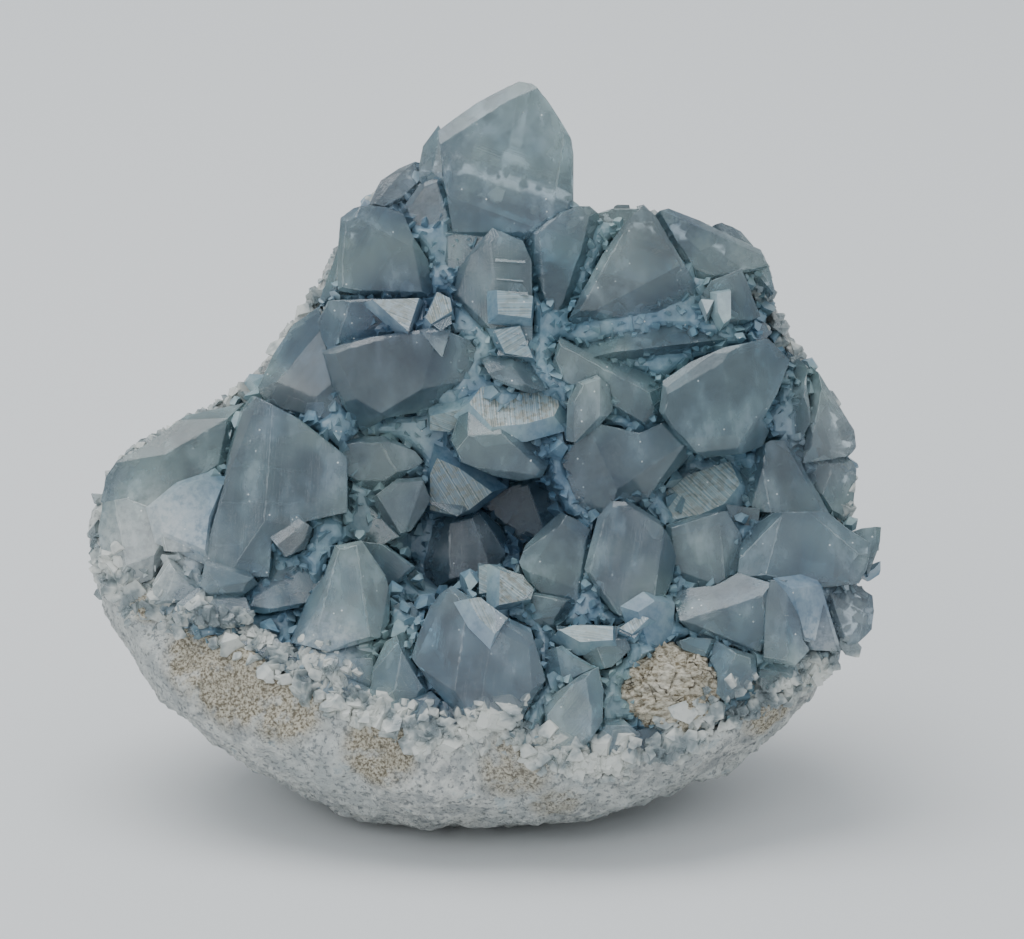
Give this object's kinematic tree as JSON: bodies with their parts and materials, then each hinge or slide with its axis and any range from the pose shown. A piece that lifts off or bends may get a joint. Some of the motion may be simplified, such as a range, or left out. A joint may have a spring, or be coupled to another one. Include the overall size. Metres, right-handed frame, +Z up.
{
  "type": "celestite crystal cluster",
  "caption": "Blue celestite crystals packed side by side on a rounded piece of white nodule rind, with a crumb of beige marl caught at the lower lip.",
  "frame": {"origin": "on the flat that the rind stands on, near its middle, with the flat at z = 0", "axes": "+X to the right along the longest side as seen from the crystal face, +Y away from the viewer into the rind, +Z up; the crystal face looks towards -Y and leans back 18 degrees"},
  "size_m": [0.1176, 0.0794, 0.1045],
  "materials": {
    "celestite": "clear to milky blue-grey crystal with a glassy lustre and paler, chipped edges",
    "rind": "rough white-grey massive celestite, speckled, with sandy beige patches",
    "marl": "dull, rough, fibrous beige marl"
  },
  "bodies": {
    "root": {"crystals": "celestite", "rind": "rind", "marl_lump": "marl"}
  },
  "joints": []
}
